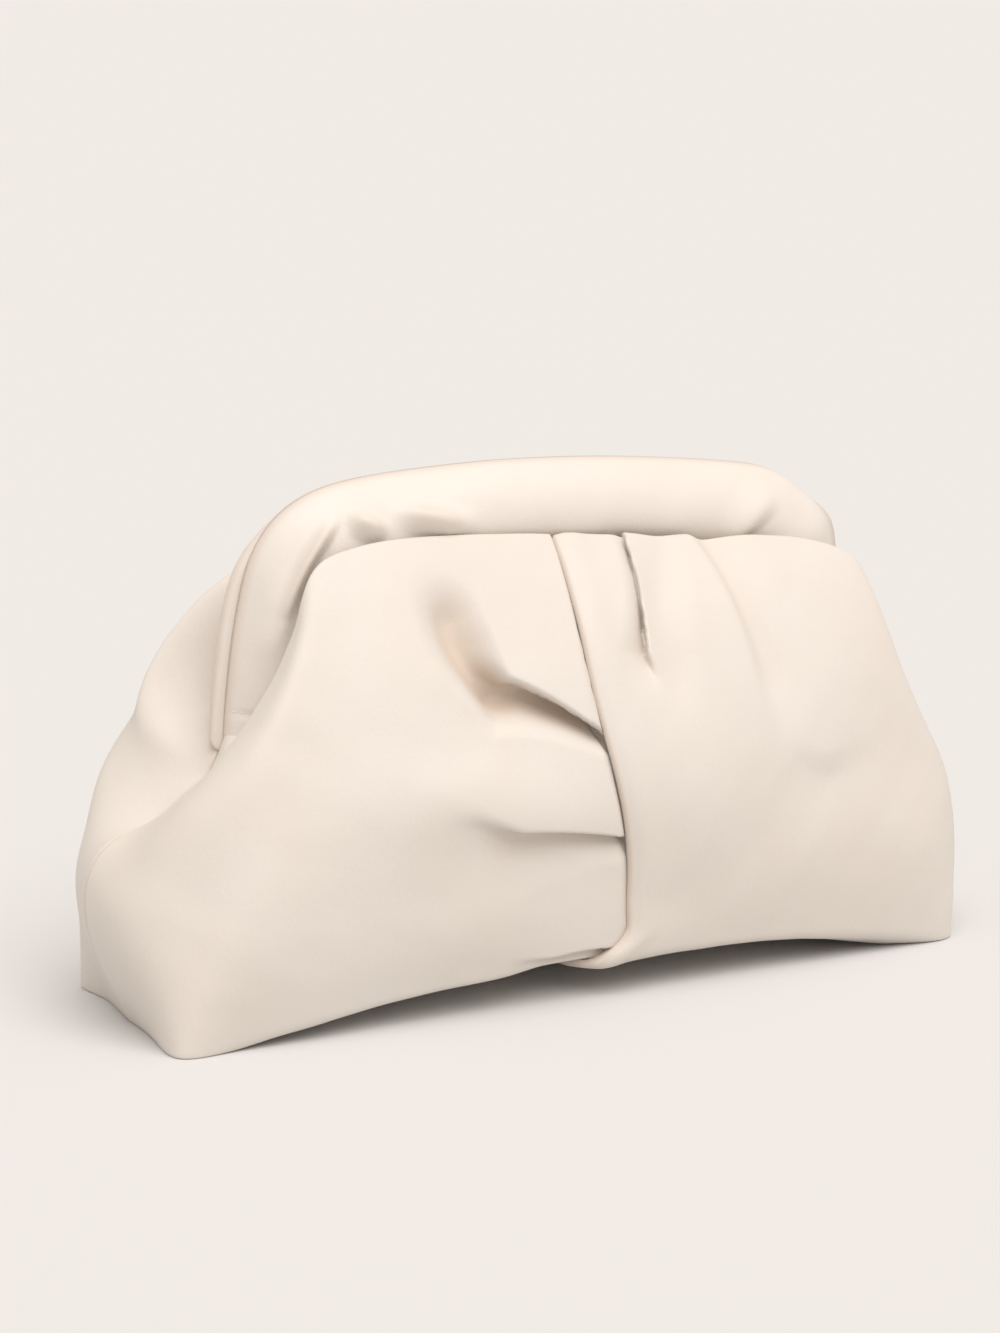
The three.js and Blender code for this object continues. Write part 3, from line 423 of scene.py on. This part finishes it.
def shell(name, outer, inner, flip, fields):
    """A closed wall: a fine outer grid, a coarser inner grid (every third line) and a rim that joins them."""
    nu, nv = outer.shape[:2]
    inner = inner[::3, ::3]
    mu, mv = inner.shape[:2]
    o = np.arange(nu * nv).reshape(nu, nv)
    i = np.arange(mu * mv).reshape(mu, mv) + nu * nv
    fo = np.stack([o[:-1, :-1], o[:-1, 1:], o[1:, 1:], o[1:, :-1]], -1).reshape(-1, 4)
    fi = np.stack([i[:-1, :-1], i[1:, :-1], i[1:, 1:], i[:-1, 1:]], -1).reshape(-1, 4)
    faces = fo.tolist() + fi.tolist()
    for k in range(mv - 1):
        a, b = 3 * k, 3 * k + 3
        faces.append([*o[0, a : b + 1][::-1].tolist(), int(i[0, k]), int(i[0, k + 1])])
        faces.append([*o[-1, a : b + 1].tolist(), int(i[-1, k + 1]), int(i[-1, k])])
    for k in range(mu - 1):
        a, b = 3 * k, 3 * k + 3
        faces.append([*o[a : b + 1, 0].tolist(), int(i[k + 1, 0]), int(i[k, 0])])
        faces.append([*o[a : b + 1, -1][::-1].tolist(), int(i[k, -1]), int(i[k + 1, -1])])
    if flip:
        faces = [f[::-1] for f in faces]
    both = {k: np.concatenate([np.asarray(f).ravel(), np.asarray(f)[::3, ::3].ravel()]) for k, f in fields.items()}
    return make(name, np.concatenate([outer.reshape(-1, 3), inner.reshape(-1, 3)]), faces, both)


def wrap_rise(u, v, past):
    """How far the wrap stands over the plain front, past millimetres from its lap edge."""
    tip = WRAP_TIP_RISE * smooth((v - 0.80) / 0.13) * np.exp(-((past / WRAP_TIP_WIDE) ** 2))
    return (WRAP_RISE + tip) * smooth((1 - u) / 0.35) * smooth((v - 0.06) / 0.2) * smooth((1.12 - v) / 0.12)


def slide(p, n, sx, sz, share):
    """Moves points along the surface by the lips' overhang."""
    t = np.stack([sx, np.zeros_like(sx), sz], -1) * share[..., None]
    return p + t - n * (t * n).sum(-1, keepdims=True)


ROWS = stations(210, 0.62, 0, 0)
V_ROWS = ROWS * LEVELS[-1]


def fold_share(v):
    return smooth((1.0 - v) / 0.07) * smooth((v - 0.09) / 0.1)


def front_panel():
    edge = lap_u(V_ROWS)
    body = stations(176, 0.9, 2.5, 4.0)
    margin = np.linspace(0, 1, 10)[1:]
    u = np.concatenate([-1 + (edge + 1) * body[:, None], edge + LAP_MARGIN * margin[:, None]])
    v = np.broadcast_to(V_ROWS, u.shape)
    p = surface(FRONT_NET, u, v)
    pu, _, n = surface_frame(FRONT_NET, u, v, 1)
    share = fold_share(v)
    height, sx, sz, hollow_shade = fold_field("front", p[..., 0], p[..., 2])
    lean = np.gradient(lap_x(V_ROWS)) / np.minimum(np.gradient(surface(FRONT_NET, edge, V_ROWS)[:, 2]), -0.2)
    past = p[..., 0] - lap_x(v) + (sx - np.clip(lean, -1, 1) * sz) * share
    height = np.where(height > 0, height * (1 - smooth((past + 3) / 4)), height)
    proud = wrap_rise(np.broadcast_to(edge, u.shape), v, 0) * (1 - smooth((v - 1.0) / 0.06))
    under = np.minimum(0, proud - WALL - LAP_CLEAR)
    width = LAP_DIP_HIGH + (LAP_DIP_LOW - LAP_DIP_HIGH) * smooth((v - 0.515) / 0.04)
    dip = np.clip(1 + (past - 0.2) / width, 0, 1) ** 2
    rise = height * share * (1 - 0.6 * smooth(past / 3)) + under * dip + ripple(p, 11, 0.28, 46) + ripple(p, 12, 0.05, 15)
    gap = (u + 1) * np.linalg.norm(pu, axis=-1)
    outer = slide(p + n * (rise - seam(gap, v))[..., None], n, sx, sz, share)
    inner = slide(p + n * (rise - WALL - 0.3)[..., None], n, sx, sz, share)
    for side in (outer, inner):
        meet(side, 0, gap, v, -SEAM_GAP)
        side[..., 1] = np.minimum(side[..., 1], -SEAM_GAP)
    # hollow_shade is the mask for painted shade in the hollows; edge darkens the tone of turned edges
    fields = {"hollow_shade": np.clip(hollow_shade * share / 6, 0, 2), "edge": np.exp(-((gap / 1.5) ** 2))}
    return shell("front_panel_leather", on_floor(outer), on_floor(inner) + [0, 0, 0.5], False, fields)


def wrap_panel():
    edge = lap_u(V_ROWS)
    body = stations(158, 0.72, 4.0, 2.5)
    u = edge + (1 - edge) * body[:, None]
    v = np.broadcast_to(V_ROWS, u.shape)
    p = surface(FRONT_NET, u, v)
    pu, _, n = surface_frame(FRONT_NET, u, v, 1)
    share = fold_share(v)
    height, sx, sz, hollow_shade = fold_field("wrap", p[..., 0], p[..., 2])
    past = (u - edge) * np.linalg.norm(pu, axis=-1)
    rolled = 0.7 * (1 - smooth(past / 5.0)) ** 1.5 - 0.5 * np.exp(-(((past - 6.5) / 4.0) ** 2))
    rise = height * share * smooth((past + 1) / 5) + wrap_rise(u, v, past) - rolled * smooth(v / 0.2)
    rise = rise + ripple(p, 21, 0.28, 46) + ripple(p, 22, 0.05, 15)
    gap = (1 - u) * np.linalg.norm(pu, axis=-1)
    outer = slide(p + n * (rise - seam(gap, v) - round_over(past, LAP_ROUND))[..., None], n, sx, sz, share)
    inner = slide(p + n * (rise - WALL - 0.2)[..., None], n, sx, sz, share)
    for side in (outer, inner):
        meet(side, -1, gap, v, -SEAM_GAP)
        side[..., 1] = np.minimum(side[..., 1], -SEAM_GAP)
    fields = {"hollow_shade": np.clip(hollow_shade * share / 6, 0, 2), "edge": np.exp(-((np.minimum(gap, past) / 1.5) ** 2))}
    return shell("wrap_panel_leather", on_floor(outer), on_floor(inner) + [0, 0, 0.5], False, fields)


def back_panel():
    rows = stations(215, 1.4) * LEVELS[-1]
    u = (2 * stations(340, 1.8, 2.5, 2.5) - 1)[:, None] + 0 * rows
    v = np.broadcast_to(rows, u.shape)
    p = surface(BACK_NET, u, v)
    pu, _, n = surface_frame(BACK_NET, u, v, -1)
    gap = (1 - np.abs(u)) * np.linalg.norm(pu, axis=-1)
    rise = ripple(p, 31, 0.35, 50) + ripple(p, 32, 0.05, 16)
    outer = p + n * (rise - seam(gap, v))[..., None]
    inner = p + n * (rise - WALL - 0.3)[..., None]
    for side in (outer, inner):
        meet(side, 0, (1 + u) * np.linalg.norm(pu, axis=-1), v, SEAM_GAP)
        meet(side, -1, (1 - u) * np.linalg.norm(pu, axis=-1), v, SEAM_GAP)
        side[..., 1] = np.maximum(side[..., 1], SEAM_GAP)
    fields = {"hollow_shade": 0 * u, "edge": np.exp(-((gap / 1.5) ** 2))}
    return shell("back_panel_leather", on_floor(outer), on_floor(inner) + [0, 0, 0.5], True, fields)


def casing_paths(side):
    """The outer lip, fuller on the right, and the even line that the inner edge keeps to."""
    h = np.array(CASING, float)
    h = np.vstack([h[0] + [0.5, -LEG_TUCK, 0], h])
    h[:, 0] += BACK_LEGS_OUT * smooth((146 - h[:, 1]) / 20) * (side > 0)
    left = np.stack([FRAME_X - h[:, 0], h[:, 1]], 1)
    right = np.stack([FRAME_X + h[:, 0], h[:, 1]], 1)
    fuller = right + h[:, 2:] * [0.8, 0.6]
    return np.vstack([left, fuller[-2::-1]]), np.vstack([left, right[-2::-1]])


def casing(name, side):
    """A padded sleeve of D section along the mouth's lip, closed at the end of each leg."""
    lip_line, even = casing_paths(side)
    run = np.concatenate([[0], np.cumsum(np.hypot(*np.diff(even, axis=0).T))])
    s = run[-1] * stations(run[-1], 0.95, 5, 5, 0.4)
    c, base = weights(run, s) @ lip_line, weights(run, s) @ even
    e = 0.5
    t = (weights(run, np.clip(s + e, 0, run[-1])) - weights(run, np.clip(s - e, 0, run[-1]))) @ even
    t /= np.linalg.norm(t, axis=1, keepdims=True)
    inward = np.stack([t[:, 1], -t[:, 0]], 1)
    k = np.minimum(s, run[-1] - s)
    cap = np.sqrt(np.clip(1 - (1 - np.clip(k / LEG_CAP, 0, 1)) ** 2, 0.0025, 1))
    hem = 1 - 0.10 * np.exp(-(((k - HEM) / 0.9) ** 2))
    tall = CASING_TALL * (LEG_END_TALL + (1 - LEG_END_TALL) * smooth(k / LEG_TAPER))
    thick = CASING_THICK * (LEG_END_THICK + (1 - LEG_END_THICK) * smooth(k / (LEG_TAPER - 2))) * hem
    across = base + inward * tall[:, None] - c
    ph = np.linspace(-np.pi / 2, np.pi / 2, 57)
    r, y = (0.5 - 0.5 * np.sin(ph)) ** CASING_BELLY, np.maximum(np.cos(ph), 0) ** CASING_ROUND
    flat = np.linspace(0, 1, 11)[1:-1]
    r, y = np.concatenate([r, flat]), np.concatenate([y, 0 * flat])
    share = (r - 0.5)[None, :] * cap[:, None] + 0.5
    rr = share * np.linalg.norm(across, axis=1)[:, None]
    p = np.empty((len(s), len(r), 3))
    p[..., 0] = c[:, None, 0] + across[:, None, 0] * share
    p[..., 2] = c[:, None, 1] + across[:, None, 1] * share
    p[..., 1] = side * (CASING_PART + y[None, :] * cap[:, None] * thick[:, None])
    nu, nv = p.shape[:2]
    du = np.gradient(p, axis=0)
    dv = np.roll(p, -1, 1) - np.roll(p, 1, 1)
    n = np.cross(du, dv) * side
    n /= np.linalg.norm(n, axis=-1, keepdims=True) + 1e-12
    hollow_shade = np.zeros((nu, nv))
    swell = smooth(np.abs(p[..., 1]) / 6)
    rise = (ripple(p, 41 if side < 0 else 42, 0.3, 34) + ripple(p, 43 if side < 0 else 44, 0.08, 13)) * swell
    if side < 0:
        height, sx, sz, hollow_shade = fold_field("casing", p[..., 0], p[..., 2])
        rise = rise + height * swell
        hollow_shade = hollow_shade * swell
        p = slide(p, n, sx, sz, swell)
    p = p + n * rise[..., None]
    p[..., 1] = side * np.maximum(side * p[..., 1], CASING_PART)
    q = np.arange(nu * nv).reshape(nu, nv)
    w = np.roll(q, -1, 1)
    faces = np.stack([q[:-1], w[:-1], w[1:], q[1:]], -1).reshape(-1, 4).tolist()
    faces.append(q[0, ::-1].tolist())
    faces.append(q[-1].tolist())
    if side < 0:
        faces = [f[::-1] for f in faces]
    threads = []
    for i in (np.argmin(np.abs(s - HEM)), np.argmin(np.abs(s - run[-1] + HEM))):
        line, off = p[i, 3:54], n[i, 3:54]
        length = np.concatenate([[0], np.cumsum(np.linalg.norm(np.diff(line, axis=0), axis=1))])
        for at in np.arange(1.5 + STITCH_LONG / 2, length[-1] - 1.5, STITCH_STEP):
            ends = [np.array([np.interp(at + d, length, line[:, c]) for c in range(3)]) for d in (-STITCH_LONG / 2, STITCH_LONG / 2)]
            threads.append((*ends, np.array([np.interp(at, length, off[:, c]) for c in range(3)])))
    lip = np.exp(-((rr / 1.2) ** 2))
    return threads, make(name, p.reshape(-1, 3), faces, {"hollow_shade": np.clip(hollow_shade / 6, 0, 2).ravel(), "edge": lip.ravel()})


def stitches(name, threads):
    """Short threads lying along a hem, each a slender closed bead."""
    rings, sides = 7, 8
    verts, faces = [], []
    for a, b, n in threads:
        n = n / np.linalg.norm(n)
        t = (b - a) / np.linalg.norm(b - a)
        w = np.cross(t, n)
        base = len(verts)
        for i in range(rings):
            k = -1 + 2 * i / (rings - 1)
            r = STITCH_THICK / 2 * max(0.25, math.sqrt(1 - k**4))
            c = (a + b) / 2 + t * k * STITCH_LONG / 2 + n * (STITCH_THICK * 0.3 * (1 - k * k))
            for j in range(sides):
                g = 2 * math.pi * j / sides
                verts.append(c + r * (math.cos(g) * n + math.sin(g) * w))
        for i in range(rings - 1):
            for j in range(sides):
                q = base + i * sides
                faces.append([q + j, q + (j + 1) % sides, q + sides + (j + 1) % sides, q + sides + j])
        faces.append([base + j for j in range(sides)][::-1])
        faces.append([base + (rings - 1) * sides + j for j in range(sides)])
    return make(name, verts, faces)


# ---------------------------------------------------------------- materials
def leather(name, light, deep, shade_and_edge_tone):
    """Smooth, faintly grained cream leather with painted shade in its hollows, a warmer, darker colour by how deep the
    fold lies, and a little darker tone along turned edges.
    """
    m = bpy.data.materials.new(name)
    m.use_nodes = True
    t = m.node_tree
    nodes, link = t.nodes, t.links.new
    b = nodes["Principled BSDF"]
    b.inputs["Specular IOR Level"].default_value = 0.38
    b.inputs["Sheen Weight"].default_value = 0.06
    b.inputs["Sheen Roughness"].default_value = 0.45
    b.inputs["Sheen Tint"].default_value = (1.0, 0.97, 0.92, 1)
    where = nodes.new("ShaderNodeTexCoord").outputs["Object"]

    def noise(scale, detail, rough):
        x = nodes.new("ShaderNodeTexNoise")
        x.inputs["Scale"].default_value, x.inputs["Detail"].default_value = scale, detail
        x.inputs["Roughness"].default_value = rough
        link(where, x.inputs["Vector"])
        return x.outputs["Fac"]

    def mix(fac, one, two):
        x = nodes.new("ShaderNodeMix")
        x.data_type = "RGBA"
        for value, socket in ((fac, x.inputs[0]), (one, x.inputs[6]), (two, x.inputs[7])):
            if isinstance(value, bpy.types.NodeSocket):
                link(value, socket)
            else:
                socket.default_value = value if isinstance(value, float) else (*value, 1)
        return x.outputs[2]

    def spread(value, a, c, lo, hi):
        x = nodes.new("ShaderNodeMapRange")
        for key, v in (("From Min", a), ("From Max", c), ("To Min", lo), ("To Max", hi)):
            x.inputs[key].default_value = v
        link(value, x.inputs["Value"])
        return x.outputs["Result"]

    def field(key):
        x = nodes.new("ShaderNodeAttribute")
        x.attribute_name = key
        return x.outputs["Fac"]

    cloud = spread(noise(16.0, 3.0, 0.55), 0.35, 0.65, 0.0, 1.0)
    colour = mix(cloud, light, deep)
    colour = mix(spread(noise(620.0, 2.0, 0.5), 0.4, 0.7, 0.0, 0.22), colour, deep)
    # painted shade: the deeper a fold's hollow, the more the colour turns to the darker shade colour
    colour = mix(spread(field("hollow_shade"), 0.25, 1.4, 0.0, 0.52), colour, shade_and_edge_tone)
    # turned edges of the leather are a little darker in tone
    colour = mix(spread(field("edge"), 0.2, 1.0, 0.0, 0.30), colour, shade_and_edge_tone)
    link(colour, b.inputs["Base Color"])
    link(spread(noise(140.0, 4.0, 0.6), 0.3, 0.7, 0.46, 0.58), b.inputs["Roughness"])

    grain = nodes.new("ShaderNodeTexVoronoi")
    grain.feature = "SMOOTH_F1"
    grain.inputs["Scale"].default_value = 950.0
    grain.inputs["Smoothness"].default_value = 0.6
    link(where, grain.inputs["Vector"])
    fine = nodes.new("ShaderNodeBump")
    fine.inputs["Strength"].default_value = 0.16
    fine.inputs["Distance"].default_value = 0.0002
    link(grain.outputs["Distance"], fine.inputs["Height"])
    broad = nodes.new("ShaderNodeBump")
    broad.inputs["Strength"].default_value = 0.22
    broad.inputs["Distance"].default_value = 0.0006
    link(noise(85.0, 3.0, 0.5), broad.inputs["Height"])
    link(fine.outputs["Normal"], broad.inputs["Normal"])
    link(broad.outputs["Normal"], b.inputs["Normal"])
    return m


# the last colour is painted shade for the hollows and also the darker tone of turned edges
PANEL = leather("panel_leather", (0.700, 0.657, 0.612), (0.681, 0.632, 0.577), (0.58, 0.44, 0.325))
SLEEVE = leather("casing_leather", (0.742, 0.697, 0.650), (0.718, 0.667, 0.609), (0.59, 0.45, 0.335))

front, wrap, back = front_panel(), wrap_panel(), back_panel()
front_threads, casing_front = casing("frame_casing_front_leather", -1)
back_threads, casing_back = casing("frame_casing_back_leather", 1)
stitch_front = stitches("frame_casing_front_stitches", front_threads)
stitch_back = stitches("frame_casing_back_stitches", back_threads)

for piece, node, slot, material in (
    (front, "front_panel", "panel_leather", PANEL),
    (wrap, "wrap_panel", "panel_leather", PANEL),
    (back, "back_panel", "panel_leather", PANEL),
    (casing_front, "frame_casing_front", "casing_leather", SLEEVE),
    (casing_back, "frame_casing_back", "casing_leather", SLEEVE),
    (stitch_front, "frame_casing_front", "casing_leather", SLEEVE),
    (stitch_back, "frame_casing_back", "casing_leather", SLEEVE),
):
    piece.data.materials.append(material)
    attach(piece, "root")
    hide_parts(node)

# ---------------------------------------------------------------- floor, light and camera
STUDIO = (0.880, 0.830, 0.790)       # the pale surround as it is seen
AMBIENT = 0.77                       # how much of it falls on the bag from all round
FILL = (0.880, 0.815, 0.755)         # and in what colour
FLOOR_SHARE = 0.66                   # how much of its light the floor gives back

bpy.ops.mesh.primitive_grid_add(x_subdivisions=24, y_subdivisions=24, size=60)
floor = bpy.context.object
floor.name = "floor"
fm = bpy.data.materials.new("floor")
fm.use_nodes = True
fm.node_tree.nodes.clear()
out = fm.node_tree.nodes.new("ShaderNodeOutputMaterial")
matte = fm.node_tree.nodes.new("ShaderNodeBsdfDiffuse")
matte.inputs["Color"].default_value = (FLOOR_SHARE, FLOOR_SHARE, FLOOR_SHARE, 1)
fm.node_tree.links.new(matte.outputs[0], out.inputs["Surface"])
floor.data.materials.append(fm)

scene = bpy.context.scene
world = bpy.data.worlds.new("studio")
scene.world = world
world.use_nodes = True
world.node_tree.nodes["Background"].inputs["Color"].default_value = (*FILL, 1)
world.node_tree.nodes["Background"].inputs["Strength"].default_value = AMBIENT

# the surround itself, which throws no light or shadow of its own
bpy.ops.mesh.primitive_uv_sphere_add(segments=48, ring_count=24, radius=25)
surround = bpy.context.object
surround.name = "surround"
sm = bpy.data.materials.new("surround")
sm.use_nodes = True
sm.node_tree.nodes.clear()
glow = sm.node_tree.nodes.new("ShaderNodeEmission")
glow.inputs["Color"].default_value = (*STUDIO, 1)
sm.node_tree.links.new(glow.outputs[0], sm.node_tree.nodes.new("ShaderNodeOutputMaterial").inputs["Surface"])
surround.data.materials.append(sm)
surround.visible_diffuse = surround.visible_glossy = surround.visible_transmission = False
surround.visible_volume_scatter = surround.visible_shadow = False

# one very wide lamp, so strong that the lit floor is as bright as the surround
LAMP_FROM = Vector((-0.06, -0.56, 1.0)).normalized()
lamp = bpy.data.lights.new("softbox", "SUN")
lamp.angle = math.radians(60)
KEY = [c / FLOOR_SHARE - AMBIENT * f for c, f in zip(STUDIO, FILL)]
lamp.color = tuple(c / KEY[0] for c in KEY)
lamp.energy = math.pi * KEY[0] / LAMP_FROM.z
lamp_object = bpy.data.objects.new("softbox", lamp)
scene.collection.objects.link(lamp_object)
lamp_object.rotation_euler = LAMP_FROM.to_track_quat("Z", "Y").to_euler()
lamp_object.location = LAMP_FROM * 2

TARGET = Vector((-12.7, 0, 95.8)) * MM
AZIMUTH, ELEVATION, DISTANCE = math.radians(-28.4), math.radians(8.9), 0.75
away = Vector((math.sin(AZIMUTH) * math.cos(ELEVATION), -math.cos(AZIMUTH) * math.cos(ELEVATION), math.sin(ELEVATION)))
cam = bpy.data.cameras.new("camera")
cam.sensor_width = 36.0
cam.lens = 2413.0 / 1333.0 * 36.0
camera = bpy.data.objects.new("camera", cam)
scene.collection.objects.link(camera)
camera.location = TARGET + away * DISTANCE
camera.rotation_euler = (-away).to_track_quat("-Z", "Y").to_euler()
scene.camera = camera
scene.view_settings.view_transform = "Standard"

bpy.context.view_layer.update()
